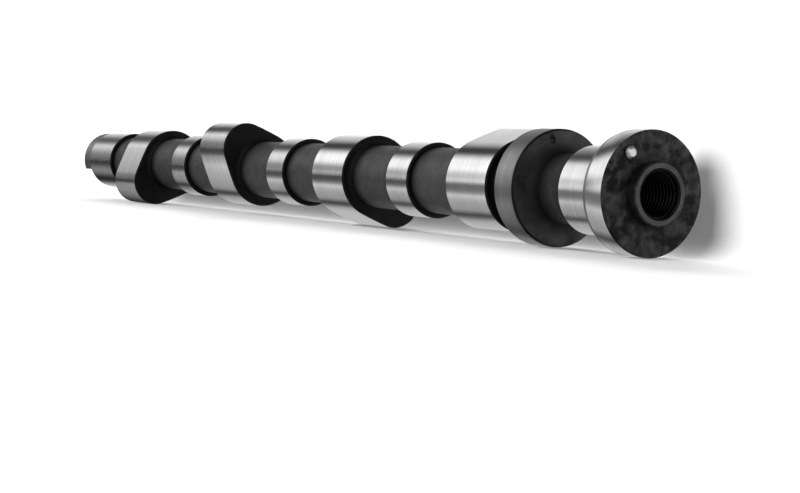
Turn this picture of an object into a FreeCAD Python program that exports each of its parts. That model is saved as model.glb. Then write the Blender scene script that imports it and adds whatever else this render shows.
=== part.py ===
"""Four-lobe overhead camshaft of chilled cast iron, with the dowel pin pressed into its drive flange.

The origin is on the shaft's axis in the plane of the flange's front face, where the timing wheel seats.
+X runs along the axis and out of that face, +Z is up, and the shaft lies level on its flange and two lobes.
Distances along the shaft are counted backwards from the flange's face, so a distance s is at x = -s.
"""
import FreeCAD, Part
import math
import os

# Everything is in millimetres and degrees.
# Bearing journals, ground to one diameter, apart from the larger one behind the flange.
journal_radius = 13.0
journal_width = 14.3
journal_chamfer = 0.5
front_journal_radius = 13.4
front_journal_length = 18.5
rear_journal_length = 26.2

# Cam lobes: a base circle, two flank arcs and a nose arc, each tangent to the next.
heel_rise = 1.87
lobe_lift = 6.93
nose_radius = 10.45
flank_radius = 130.0
lobe_width = 23.2
lobe_edge_chamfer = 0.45
lobe_pitch = 91.0

# Nose directions from +Y towards +Z, in quarter turns from the front lobe's, for the firing order 1-3-4-2.
front_nose_angle = 45.0
cam_step_angle = 90.0
lobe_steps = (0, 3, 1, 2)

# Shaft between the ground bands, left as it was cast.
barrel_relief = 1.7
cast_fillet = 1.8
front_barrel_length = 9.4
rear_barrel_length = 20.2
neck_relief = 2.6
neck_length = 16.1
neck_root_fillet = 3.4

# Thrust disc behind the neck, with a punched timing mark in its front face.
thrust_disc_radius = 18.25
thrust_disc_width = 10.1
thrust_disc_chamfer = 0.6
timing_mark_inset = 3.15
timing_mark_angle = 105.0
timing_mark_radius = 1.0
timing_mark_depth = 0.8

# Drive flange, its rim eased towards the back, with a grinding undercut behind it.
flange_radius = 18.45
flange_thickness = 9.1
flange_chamfer = 0.5
flange_ease_length = 1.5
flange_ease_drop = 0.4
undercut_width = 1.1
undercut_depth = 0.6

# Hole for the timing wheel's bolt, to the thread's outer diameter, and the locating ring around its mouth.
bolt_hole_radius = 7.0
bolt_mouth_chamfer = 0.55
bolt_hole_depth = 34.0
drill_point_angle = 118.0
ring_wall = 1.8
ring_height = 3.4
ring_chamfer = 0.45

# Dowel pin that times the wheel on the flange, with the metal left outside and behind its hole.
dowel_radius = 2.0
dowel_rim_wall = 1.75
dowel_floor = 2.1
dowel_angle = 128.5
dowel_height = 1.6
dowel_nose_chamfer = 0.9
dowel_tail_chamfer = 0.4

# Half-round drive end behind the rear journal, and the centre that the shaft was ground on.
drive_end_length = 8.7
drive_end_step = 0.2
drive_end_chamfer = 1.0
drive_flat_drop = 4.75
centre_mouth_radius = 4.0
centre_drill_radius = 1.6
centre_depth = 7.0
centre_angle = 60.0

# What follows from the sizes above.
barrel_radius = journal_radius - barrel_relief
neck_radius = front_journal_radius - neck_relief
base_circle_radius = journal_radius + heel_rise
nose_offset = base_circle_radius + lobe_lift - nose_radius
front_journal_end = flange_thickness + front_journal_length
thrust_disc_front = front_journal_end + neck_length
thrust_disc_back = thrust_disc_front + thrust_disc_width
front_lobe_station = thrust_disc_back + front_barrel_length + lobe_width / 2
lobe_stations = [front_lobe_station + lobe_pitch * i for i in range(len(lobe_steps))]
nose_angles = [front_nose_angle + cam_step_angle * step for step in lobe_steps]
journal_stations = [station + lobe_pitch / 2 for station in lobe_stations[:-1]]
rear_journal_front = lobe_stations[-1] + lobe_width / 2 + rear_barrel_length
rear_journal_back = rear_journal_front + rear_journal_length
shaft_end = rear_journal_back + drive_end_length
drive_end_radius = journal_radius - drive_end_step
bolt_mouth_radius = bolt_hole_radius + bolt_mouth_chamfer
ring_radius = bolt_mouth_radius + ring_wall
dowel_circle_radius = flange_radius - dowel_rim_wall - dowel_radius
dowel_hole_depth = flange_thickness - dowel_floor
timing_mark_circle_radius = thrust_disc_radius - timing_mark_inset

ORIGIN = FreeCAD.Vector(0, 0, 0)
FORWARD = FreeCAD.Vector(1, 0, 0)
BACKWARD = FreeCAD.Vector(-1, 0, 0)


def on_shaft(s, radius, angle):
    """The point at distance s behind the flange's face, at a radius and an angle from +Y towards +Z."""
    turn = math.radians(angle)
    return FreeCAD.Vector(-s, radius * math.cos(turn), radius * math.sin(turn))


def drill_point_length(radius):
    """The height of the cone that a drill leaves at the end of a hole."""
    return radius / math.tan(math.radians(drill_point_angle / 2))


def turned(outline):
    """A solid turned about the shaft's axis from its half section, as points of (s, radius).

    A point of ("arc", s, radius) is the middle of an arc between the points before and after it. The arc is
    turned as a spline of the same form, because that surface is faceted more sparingly than a torus.
    """
    edges = []
    start = outline[0]
    middle = None
    for point in outline[1:] + outline[:1]:
        if point[0] == "arc":
            middle = on_shaft(point[1], point[2], 90)
            continue
        ends = on_shaft(*start, 90), on_shaft(*point, 90)
        if middle is None:
            edges.append(Part.LineSegment(*ends).toShape())
        else:
            arc = Part.Arc(ends[0], middle, ends[1]).toShape()
            edges.append(arc.Curve.toBSpline(arc.FirstParameter, arc.LastParameter).toShape())
        start = point
        middle = None
    return Part.Face(Part.Wire(edges)).revolve(ORIGIN, FORWARD, 360)


def ground_band(front, back, radius, front_chamfer, back_chamfer):
    """The outline of a ground band, with a chamfer at each edge."""
    return [
        (front, radius - front_chamfer),
        (front + front_chamfer, radius),
        (back - back_chamfer, radius),
        (back, radius - back_chamfer),
    ]


def hollow_fillet(shoulder, radius, fillet, behind):
    """The outline of a hollow fillet between a shoulder and an as-cast stretch of the given radius.

    The stretch lies behind the shoulder, or else in front of it, and the points run from front to back.
    """
    way = 1 if behind else -1
    slack = 1 - math.sqrt(0.5)
    points = [
        (shoulder, radius + fillet),
        ("arc", shoulder + way * slack * fillet, radius + slack * fillet),
        (shoulder + way * fillet, radius),
    ]
    return points if behind else points[::-1]


def make_turned_shaft():
    """Everything that is round about the axis, from the locating ring to the drive end."""
    outline = [
        (-ring_height, 0),
        (-ring_height, ring_radius - ring_chamfer),
        (ring_chamfer - ring_height, ring_radius),
        (0, ring_radius),
    ]
    outline += [
        (0, flange_radius - flange_chamfer),
        (flange_chamfer, flange_radius),
        (flange_thickness - flange_ease_length, flange_radius),
        (flange_thickness, flange_radius - flange_ease_drop),
    ]
    undercut_end = flange_thickness + undercut_width
    outline += [
        (flange_thickness, front_journal_radius - undercut_depth),
        (undercut_end, front_journal_radius - undercut_depth),
        (undercut_end, front_journal_radius),
        (front_journal_end - journal_chamfer, front_journal_radius),
        (front_journal_end, front_journal_radius - journal_chamfer),
    ]
    outline.append((front_journal_end, neck_radius))
    outline += hollow_fillet(thrust_disc_front, neck_radius, neck_root_fillet, False)
    outline += ground_band(
        thrust_disc_front, thrust_disc_back, thrust_disc_radius, thrust_disc_chamfer, thrust_disc_chamfer
    )
    outline += hollow_fillet(thrust_disc_back, barrel_radius, cast_fillet, True)
    journals = [
        (station - journal_width / 2, station + journal_width / 2, journal_chamfer)
        for station in journal_stations
    ]
    journals.append((rear_journal_front, rear_journal_back, drive_end_step))
    for lobe_station, (front, back, back_chamfer) in zip(lobe_stations, journals):
        outline += hollow_fillet(lobe_station - lobe_width / 2, barrel_radius, cast_fillet, False)
        outline += hollow_fillet(lobe_station + lobe_width / 2, barrel_radius, cast_fillet, True)
        outline.append((front, barrel_radius))
        outline += ground_band(front, back, journal_radius, journal_chamfer, back_chamfer)
        if back < rear_journal_back:
            outline.append((back, barrel_radius))
    outline += [
        (shaft_end - drive_end_chamfer, drive_end_radius),
        (shaft_end, drive_end_radius - drive_end_chamfer),
        (shaft_end, 0),
    ]
    return turned(outline)


def cam_profile(front, nose_angle):
    """The closed cam profile at distance front behind the flange's face, its nose at nose_angle.

    Each flank arc holds the base circle and the nose arc inside it and touches both, so its centre lies
    flank_radius less theirs from the two centres, on the far side of the cam.
    """
    to_base = flank_radius - base_circle_radius
    to_nose = flank_radius - nose_radius
    cosine = (nose_offset**2 + to_base**2 - to_nose**2) / (2 * nose_offset * to_base)
    base_turn = 180 - math.degrees(math.acos(cosine))
    across = to_base * math.sin(math.radians(base_turn))
    along = nose_offset + to_base * math.cos(math.radians(base_turn))
    nose_turn = math.degrees(math.atan2(across, along))
    middle_turn = (base_turn + nose_turn) / 2

    def point(centre_along, centre_across, radius, turn):
        """A point on one of the arcs, in the cam's own directions, set at its place on the shaft."""
        reach = centre_along + radius * math.cos(math.radians(turn))
        side = centre_across + radius * math.sin(math.radians(turn))
        return on_shaft(front, math.hypot(reach, side), nose_angle + math.degrees(math.atan2(side, reach)))

    flank_along = -to_base * math.cos(math.radians(base_turn))
    base_start = point(0, 0, base_circle_radius, base_turn)
    base_end = point(0, 0, base_circle_radius, -base_turn)
    heel = point(0, 0, base_circle_radius, 180)
    nose_start = point(nose_offset, 0, nose_radius, -nose_turn)
    nose_end = point(nose_offset, 0, nose_radius, nose_turn)
    tip = point(nose_offset, 0, nose_radius, 0)
    closing_middle = point(flank_along, across, flank_radius, -middle_turn)
    opening_middle = point(flank_along, -across, flank_radius, middle_turn)
    return Part.Wire([
        Part.Arc(base_start, heel, base_end).toShape(),
        Part.Arc(base_end, closing_middle, nose_start).toShape(),
        Part.Arc(nose_start, tip, nose_end).toShape(),
        Part.Arc(nose_end, opening_middle, base_start).toShape(),
    ])


def make_lobe(station, nose_angle):
    """One cam lobe, with its two ground edges broken."""
    profile = cam_profile(station - lobe_width / 2, nose_angle)
    blank = Part.Face(profile).extrude(BACKWARD * lobe_width)
    rim = [edge for edge in blank.Edges if edge.BoundBox.XLength < lobe_edge_chamfer / 2]
    return blank.makeChamfer(lobe_edge_chamfer, rim)


def make_bolt_hole():
    """The cutter for the blind bolt hole, with its countersunk mouth and its drill point."""
    bottom = bolt_hole_depth - ring_height
    return turned([
        (-ring_height, 0),
        (-ring_height, bolt_mouth_radius),
        (bolt_mouth_chamfer - ring_height, bolt_hole_radius),
        (bottom, bolt_hole_radius),
        (bottom + drill_point_length(bolt_hole_radius), 0),
    ])


def make_dowel_hole():
    """The cutter for the flat-bottomed hole that the dowel is pressed into."""
    return Part.makeCylinder(
        dowel_radius, dowel_hole_depth, on_shaft(0, dowel_circle_radius, dowel_angle), BACKWARD
    )


def make_timing_mark():
    """The cutter for the cone that the punch left in the thrust disc's front face."""
    mark = on_shaft(thrust_disc_front, timing_mark_circle_radius, timing_mark_angle)
    return Part.makeCone(timing_mark_radius, 0, timing_mark_depth, mark, BACKWARD)


def make_drive_flat():
    """The cutter that leaves the drive end half round, below a level flat."""
    side = 2 * journal_radius
    corner = FreeCAD.Vector(-rear_journal_back - side, -side / 2, -drive_flat_drop - side)
    return Part.makeBox(side, side, side, corner)


def make_centre():
    """The cutter for the grinding centre in the end of the shaft."""
    cone_end = shaft_end - (centre_mouth_radius - centre_drill_radius) / math.tan(math.radians(centre_angle / 2))
    bottom = shaft_end - centre_depth
    return turned([
        (shaft_end, 0),
        (shaft_end, centre_mouth_radius),
        (cone_end, centre_drill_radius),
        (bottom, centre_drill_radius),
        (bottom - drill_point_length(centre_drill_radius), 0),
    ])


def make_camshaft():
    """The one-piece casting, ground, drilled and punched."""
    lobes = [make_lobe(station, angle) for station, angle in zip(lobe_stations, nose_angles)]
    casting = make_turned_shaft().fuse(lobes)
    cutters = [make_bolt_hole(), make_dowel_hole(), make_timing_mark(), make_drive_flat(), make_centre()]
    return casting.cut(cutters).removeSplitter()


def make_dowel_pin():
    """The dowel, seated on the floor of its hole, with its nose chamfered outside the flange."""
    length = dowel_hole_depth + dowel_height
    seat = on_shaft(dowel_hole_depth, dowel_circle_radius, dowel_angle)
    pin = Part.makeCylinder(dowel_radius, length, seat, FORWARD)
    tail = [edge for edge in pin.Edges if edge.BoundBox.XMax < length / 2 - dowel_hole_depth
            and edge.BoundBox.XLength < dowel_tail_chamfer]
    nose = [edge for edge in pin.Edges if edge.BoundBox.XMin > length / 2 - dowel_hole_depth]
    return pin.makeChamfer(dowel_tail_chamfer, tail).makeChamfer(dowel_nose_chamfer, nose)


def export(name, shape):
    """Writes one sub-part, which has to be a single valid solid, as a STEP file."""
    solids = shape.Solids
    assert len(solids) == 1 and solids[0].isValid(), name
    solids[0].exportStep(f"parts/{name}.step")
    box = solids[0].BoundBox
    print(f"{name}: {solids[0].Volume:.1f} mm3, x {box.XMin:.2f} to {box.XMax:.2f}, "
          f"y {box.YMin:.2f} to {box.YMax:.2f}, z {box.ZMin:.2f} to {box.ZMax:.2f}")


os.makedirs("parts", exist_ok=True)
export("camshaft", make_camshaft())
export("dowel_pin", make_dowel_pin())
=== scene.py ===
"""Looks of a four-lobe overhead camshaft: cast iron, dark as cast between bright ground bands.

The shaft is one closed skin. Its half section is a list of rows from the bolt hole's bottom to the drive
end, and a node tree turns those rows about the shaft's axis, by the cam rule where a row belongs to a lobe.
Lengths are in metres, and distances along the shaft count backwards from the flange's front face.
"""

import logging
import math
from dataclasses import dataclass, field
from enum import Enum, IntEnum
from typing import Any, Callable, Iterable

import bmesh
import bpy
from mathutils import Matrix, Vector

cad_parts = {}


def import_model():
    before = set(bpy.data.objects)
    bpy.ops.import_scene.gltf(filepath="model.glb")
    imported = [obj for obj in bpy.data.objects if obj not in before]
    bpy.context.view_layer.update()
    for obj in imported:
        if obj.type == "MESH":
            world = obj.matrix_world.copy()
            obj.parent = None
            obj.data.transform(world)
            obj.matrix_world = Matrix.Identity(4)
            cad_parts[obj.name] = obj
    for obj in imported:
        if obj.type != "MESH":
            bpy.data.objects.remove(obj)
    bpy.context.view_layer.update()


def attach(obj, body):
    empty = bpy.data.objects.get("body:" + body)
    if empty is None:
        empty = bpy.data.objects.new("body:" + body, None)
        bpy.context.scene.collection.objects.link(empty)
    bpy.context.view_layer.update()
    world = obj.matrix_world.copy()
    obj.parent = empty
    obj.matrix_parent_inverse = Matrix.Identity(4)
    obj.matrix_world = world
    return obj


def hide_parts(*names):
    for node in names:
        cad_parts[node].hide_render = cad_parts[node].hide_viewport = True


MM = 0.001
FULL_TURN = 2 * math.pi
# Where the first column of a turned skin lies, from +Y towards +Z.
SEAM_ANGLE = math.radians(1.0)
MERGE_DISTANCE = MM * 0.002
FLOAT = "NodeSocketFloat"
VECTOR = "NodeSocketVector"
GEOMETRY = "NodeSocketGeometry"
logger = logging.getLogger("camshaft")


class Zone(IntEnum):
    """The finish of a strip of the shaft's skin, in the order of its material slots."""

    LOBE = 0
    JOURNAL = 1
    SATIN = 2
    CAST = 3
    SIDE = 4
    DISC_FACE = 5
    FACE = 6
    RING = 7
    BORE = 8
    PIN_END = 9
    PIN_SIDE = 10


class Body(str, Enum):
    """The bodies that pieces ride on."""

    ROOT = "root"


class Slot(str, Enum):
    """The record's material slots."""

    IRON = "chilled_iron"
    DOWEL = "dowel_steel"


# Node trees

NODE_WIDTH = 180
NODE_HEIGHT = 170
NODES_PER_COLUMN = 6


def math_method(operation: str, flipped: bool = False) -> Callable[..., "Value"]:
    """Makes a method of Value that adds a Math node.

    Args:
        operation: The node's operation.
        flipped: Whether the value comes after the other one.

    Returns:
        The method.
    """
    def method(value: "Value", *others: Any) -> "Value":
        """Does the operation on this value and others."""
        values = (*others, value) if flipped else (value, *others)
        return value.nodes.math(operation, *values)

    return method


@dataclass
class Value:
    """An output socket of a node tree that plain arithmetic can be done on."""

    nodes: "Nodes"
    socket: bpy.types.NodeSocket

    __add__ = math_method("ADD")
    __radd__ = math_method("ADD", flipped=True)
    __sub__ = math_method("SUBTRACT")
    __rsub__ = math_method("SUBTRACT", flipped=True)
    __mul__ = math_method("MULTIPLY")
    __rmul__ = math_method("MULTIPLY", flipped=True)
    __truediv__ = math_method("DIVIDE")
    floor = math_method("FLOOR")
    absolute = math_method("ABSOLUTE")
    sign = math_method("SIGN")
    sine = math_method("SINE")
    cosine = math_method("COSINE")
    below = math_method("LESS_THAN")

    def clamp(self) -> "Value":
        """The value, held between nought and one."""
        return self.nodes.math("ADD", self, 0.0, use_clamp=True)

    def between(self, first: Any, second: Any) -> "Value":
        """The mix of two values, by this one."""
        return first + self * (second - first)


@dataclass
class Nodes:
    """Adds nodes and links to one node tree: a geometry or shader tree, or a material's own."""

    tree: bpy.types.NodeTree
    place: int = 0

    def add(self, kind: str, inputs: dict[Any, Any] | None = None, **settings: Any) -> bpy.types.Node:
        """Adds a node.

        Args:
            kind: The node's type name.
            inputs: Values, or values of other nodes, by socket name or number.
            settings: The node's own properties.

        Returns:
            The new node.
        """
        node = self.tree.nodes.new(kind)
        column, row = divmod(self.place, NODES_PER_COLUMN)
        node.location = (NODE_WIDTH * column, -NODE_HEIGHT * row)
        self.place += 1
        for name, setting in settings.items():
            setattr(node, name, setting)
        for key, value in (inputs or {}).items():
            self.feed(node.inputs[key], value)
        return node

    def feed(self, socket: bpy.types.NodeSocket, value: Any) -> None:
        """Sets an input socket, or links it to a value of another node.

        Args:
            socket: The input socket.
            value: A plain value, a Value, an output socket, or a node for its first output.
        """
        if isinstance(value, Value):
            value = value.socket
        elif isinstance(value, bpy.types.Node):
            value = value.outputs[0]
        if isinstance(value, bpy.types.NodeSocket):
            self.tree.links.new(value, socket)
        else:
            socket.default_value = value

    def value(self, node: bpy.types.Node, output: Any = 0) -> Value:
        """A node's output as a value."""
        return Value(self, node.outputs[output])

    def math(self, operation: str, *values: Any, **settings: Any) -> Value:
        """A Math node.

        Args:
            operation: The node's operation.
            values: Its inputs in order.
            settings: Its other properties.

        Returns:
            The result.
        """
        node = self.add("ShaderNodeMath", dict(enumerate(values)), operation=operation, **settings)
        return self.value(node)

    def noise(self, where: Any, scale: Any, detail: float = 2.0, **inputs: Any) -> Value:
        """A noise texture.

        Args:
            where: The point.
            scale: The texture's scale.
            detail: How many octaves it has.
            inputs: Its other inputs by name.

        Returns:
            The grey at the point.
        """
        inputs |= {"Vector": where, "Scale": scale, "Detail": detail}
        return self.value(self.add("ShaderNodeTexNoise", inputs))

    def remap(self, value: Any, span: tuple, to: tuple = (0.0, 1.0), shape: str = "LINEAR") -> Value:
        """A Map Range node, held to its ends.

        Args:
            value: The value.
            span: The values that meet the two ends.
            to: The two ends.
            shape: The node's interpolation.

        Returns:
            The result.
        """
        inputs = {"Value": value, "From Min": span[0], "From Max": span[1], "To Min": to[0], "To Max": to[1]}
        return self.value(self.add("ShaderNodeMapRange", inputs, interpolation_type=shape), "Result")

    def attribute(self, name: str) -> Value:
        """A mesh attribute, for a shader."""
        return self.value(self.add("ShaderNodeAttribute", attribute_name=name), "Fac")

    def store(
        self, geometry: Any, name: str, value: Any, kind: str = "FLOAT", domain: str = "POINT"
    ) -> bpy.types.Node:
        """Stores an attribute on a geometry.

        Args:
            geometry: The geometry.
            name: The attribute's name.
            value: Its value.
            kind: Its data type.
            domain: What it is kept on.

        Returns:
            The node that passes the geometry on.
        """
        inputs = {"Geometry": geometry, "Name": name, "Value": value}
        return self.add("GeometryNodeStoreNamedAttribute", inputs, data_type=kind, domain=domain)


def new_tree(
    name: str, kind: str, inputs: dict[str, str], outputs: dict[str, str]
) -> tuple[Nodes, dict[str, Value]]:
    """Makes a node group with named sockets.

    Args:
        name: The group's name.
        kind: The tree's type name.
        inputs: Socket types by input name.
        outputs: Socket types by output name.

    Returns:
        The builder, and the group's inputs by name.
    """
    tree = bpy.data.node_groups.new(name, kind)
    for way, sockets in (("INPUT", inputs), ("OUTPUT", outputs)):
        for socket, socket_type in sockets.items():
            tree.interface.new_socket(socket, in_out=way, socket_type=socket_type)
    nodes = Nodes(tree)
    given = nodes.add("NodeGroupInput")
    return nodes, {socket: nodes.value(given, socket) for socket in inputs}


def emptied(owner: bpy.types.Material | bpy.types.World) -> Nodes:
    """Gives a material or a world an empty node tree.

    Args:
        owner: The material or the world.

    Returns:
        The tree's builder.
    """
    owner.use_nodes = True
    owner.node_tree.nodes.clear()
    return Nodes(owner.node_tree)


# Meshes and objects

def add_object(name: str, data: bpy.types.ID) -> bpy.types.Object:
    """Makes an object and puts it in the scene.

    Args:
        name: The object's name.
        data: Its mesh, lamp or camera.

    Returns:
        The object.
    """
    piece = bpy.data.objects.new(name, data)
    bpy.context.scene.collection.objects.link(piece)
    return piece


def mesh_object(name: str, vertices: list | None = None, faces: list | None = None) -> bpy.types.Object:
    """Makes a mesh object in the scene.

    Args:
        name: The object's name.
        vertices: The places of its vertices.
        faces: The vertices of each face.

    Returns:
        The object.
    """
    mesh = bpy.data.meshes.new(name)
    if vertices:
        mesh.from_pydata(vertices, [], faces or [])
    return add_object(name, mesh)


def set_attribute(mesh: bpy.types.Mesh, name: str, values: list, kind: str = "FLOAT") -> None:
    """Gives a mesh an attribute with a value for each vertex."""
    mesh.attributes.new(name, kind, "POINT").data.foreach_set("value", values)


def hide_from(piece: bpy.types.Object, *rays: str) -> None:
    """Hides an object from some kinds of ray."""
    for ray in rays:
        setattr(piece, f"visible_{ray}", False)


def smooth(mesh: bpy.types.Mesh, angle: float) -> None:
    """Shades a mesh smooth, apart from edges sharper than an angle.

    Args:
        mesh: The mesh.
        angle: The angle in radians.
    """
    mesh.polygons.foreach_set("use_smooth", [True] * len(mesh.polygons))
    mesh.set_sharp_from_angle(angle=angle)
    mesh.update()


def plain_mesh(piece: bpy.types.Object, modifier: bpy.types.Modifier) -> bpy.types.Mesh:
    """Takes what a modifier makes of an object, and removes the modifier.

    Args:
        piece: The object.
        modifier: Its only modifier.

    Returns:
        The modifier's result as a plain mesh.
    """
    bpy.context.view_layer.update()
    evaluated = piece.evaluated_get(bpy.context.evaluated_depsgraph_get())
    made = bpy.data.meshes.new_from_object(evaluated)
    piece.modifiers.remove(modifier)
    return made


def run_tree(piece: bpy.types.Object, tree: bpy.types.NodeTree, sizes: dict[str, Any]) -> None:
    """Gives a piece a node tree's result as its plain mesh.

    Args:
        piece: The object, with the mesh that the tree reads.
        tree: The geometry node tree.
        sizes: The tree's inputs by name.
    """
    modifier = piece.modifiers.new(tree.name, "NODES")
    modifier.node_group = tree
    for item in tree.interface.items_tree:
        if item.item_type == "SOCKET" and item.in_out == "INPUT" and item.name in sizes:
            modifier[item.identifier] = sizes[item.name]
    made = plain_mesh(piece, modifier)
    if made.materials and made.materials[0] is None:
        made.materials.pop(index=0)
    piece.data = made


def sizes_of(piece: Any, names: Iterable[str]) -> dict[str, Any]:
    """The values of a tree's inputs, from the fields of the same names."""
    return {name: getattr(piece, name.lower().replace(" ", "_")) for name in names}


# Finishes

@dataclass
class ShaderGroups:
    """The effects that more than one finish uses, each built once."""

    grain_detail: float = 6.0
    grain_roughness: float = 0.62
    pit_edge: tuple[float, float] = (0.12, 0.5)
    pit_depth: float = 0.35
    line_detail: float = 4.0
    line_roughness: float = 0.7
    band_stretch: float = 0.03
    stain_detail: float = 5.0
    stain_twist: float = 0.6
    stain_edge: tuple[float, float] = (0.42, 0.68)
    cloud_scale: float = 2.3
    cloud_detail: float = 3.0
    cloud_span: tuple[float, float] = (0.3, 0.7)

    def __post_init__(self) -> None:
        """Builds the groups."""
        self.grain = self._grain()
        self.lines = self._lines()
        self.stains = self._stains()

    def _grain(self) -> bpy.types.NodeTree:
        """The pitted skin of a sand casting: a height and a mask of its hollows."""
        nodes, given = new_tree(
            "sand_cast_grain",
            "ShaderNodeTree",
            {"Vector": VECTOR, "Grain Scale": FLOAT, "Pit Scale": FLOAT},
            {"Height": FLOAT, "Hollows": FLOAT},
        )
        where = given["Vector"]
        grain = nodes.noise(where, given["Grain Scale"], self.grain_detail, Roughness=self.grain_roughness)
        pits = nodes.add(
            "ShaderNodeTexVoronoi",
            {"Vector": where, "Scale": given["Pit Scale"], "Randomness": 1.0},
            feature="SMOOTH_F1",
        )
        mask = nodes.remap(pits.outputs["Distance"], self.pit_edge, (1.0, 0.0), "SMOOTHSTEP")
        nodes.add("NodeGroupOutput", {"Height": grain - mask * self.pit_depth, "Hollows": mask})
        return nodes.tree

    def _lines(self) -> bpy.types.NodeTree:
        """Fine lines round the shaft, as a wheel or a turning tool leaves them."""
        nodes, given = new_tree(
            "lines_round_the_shaft",
            "ShaderNodeTree",
            {"Vector": VECTOR, "Line Scale": FLOAT, "Stretch": FLOAT, "Band Scale": FLOAT},
            {"Height": FLOAT, "Bands": FLOAT},
        )
        parts = nodes.add("ShaderNodeSeparateXYZ", {0: given["Vector"]})
        along, across, up = (nodes.value(parts, axis) for axis in range(3))
        stretched = [
            nodes.add("ShaderNodeCombineXYZ", {0: along, 1: across * stretch, 2: up * stretch})
            for stretch in (given["Stretch"], self.band_stretch)
        ]
        scale, rough = given["Line Scale"], self.line_roughness
        fine = nodes.noise(stretched[0], scale, self.line_detail, Roughness=rough)
        bands = nodes.noise(stretched[1], given["Band Scale"])
        nodes.add("NodeGroupOutput", {"Height": fine, "Bands": bands})
        return nodes.tree

    def _stains(self) -> bpy.types.NodeTree:
        """Cloudy handling stains: a mask with soft, uneven edges."""
        nodes, given = new_tree(
            "handling_stains",
            "ShaderNodeTree",
            {"Vector": VECTOR, "Scale": FLOAT, "Amount": FLOAT},
            {"Mask": FLOAT, "Clouds": FLOAT},
        )
        where, scale = given["Vector"], given["Scale"]
        patches = nodes.noise(where, scale, self.stain_detail, Distortion=self.stain_twist)
        mask = nodes.remap(patches, self.stain_edge, shape="SMOOTHSTEP")
        clouds = nodes.noise(where, scale * self.cloud_scale, self.cloud_detail)
        spread = nodes.remap(clouds, self.cloud_span)
        nodes.add("NodeGroupOutput", {"Mask": mask * given["Amount"], "Clouds": spread})
        return nodes.tree


class Pattern(Enum):
    """What a finish's light and dark greys follow."""

    BANDS = "lines round the shaft"
    CLOUDS = "cloudy stains"


@dataclass(frozen=True)
class Finish:
    """A metal finish: its two greys, its gloss, and the marks that its making left."""

    name: str
    dark: float
    light: float
    roughness: float
    rougher: float
    metallic: float
    pattern: Pattern = Pattern.BANDS
    contrast: float = 1.0
    specular: float = 0.5
    grain: float = 0.0
    grain_scale: float = 900.0
    pit_scale: float = 700.0
    pits: float = 0.12
    lines: float = 0.0
    line_scale: float = 9000.0
    stretch: float = 0.02
    band_scale: float = 350.0
    stains: float = 0.3
    stain_scale: float = 120.0

    def make(self, groups: ShaderGroups) -> bpy.types.Material:
        """Builds the material.

        Args:
            groups: The shared shader groups.

        Returns:
            The material.
        """
        material = bpy.data.materials.new(self.name)
        nodes = emptied(material)
        where = nodes.add("ShaderNodeTexCoord").outputs["Object"]
        stains = nodes.add(
            "ShaderNodeGroup",
            {"Vector": where, "Scale": self.stain_scale, "Amount": self.stains},
            node_tree=groups.stains,
        )
        lines = nodes.add(
            "ShaderNodeGroup",
            {"Vector": where} | sizes_of(self, ("Line Scale", "Stretch", "Band Scale")),
            node_tree=groups.lines,
        )
        greys = (lines, "Bands") if self.pattern is Pattern.BANDS else (stains, "Clouds")
        tone = nodes.value(*greys) * self.contrast + (1.0 - self.contrast)
        height = nodes.value(lines, "Height") * self.lines
        if self.grain:
            grain = nodes.add(
                "ShaderNodeGroup",
                {"Vector": where} | sizes_of(self, ("Grain Scale", "Pit Scale")),
                node_tree=groups.grain,
            )
            height = height + nodes.value(grain, "Height") * self.grain
            tone = tone - nodes.value(grain, "Hollows") * self.pits
        # The stains are real; clean darkens the colour as painted shade in corners and recesses.
        share = ((tone - nodes.value(stains, "Mask")) * nodes.attribute("clean")).clamp()
        colour = nodes.add("ShaderNodeValToRGB", {"Fac": share})
        for end, grey in zip(colour.color_ramp.elements, (self.dark, self.light)):
            end.color = (grey, grey, grey, 1.0)
        bump = nodes.add("ShaderNodeBump", {"Strength": 1.0, "Distance": MM, "Height": height})
        shader = nodes.add(
            "ShaderNodeBsdfPrincipled",
            {
                "Base Color": colour.outputs["Color"],
                "Metallic": self.metallic,
                "Roughness": nodes.remap(share, (0.0, 1.0), (self.rougher, self.roughness)),
                "Specular IOR Level": self.specular,
                "Normal": bump.outputs["Normal"],
            },
        )
        nodes.add("ShaderNodeOutputMaterial", {"Surface": shader})
        return material


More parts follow.
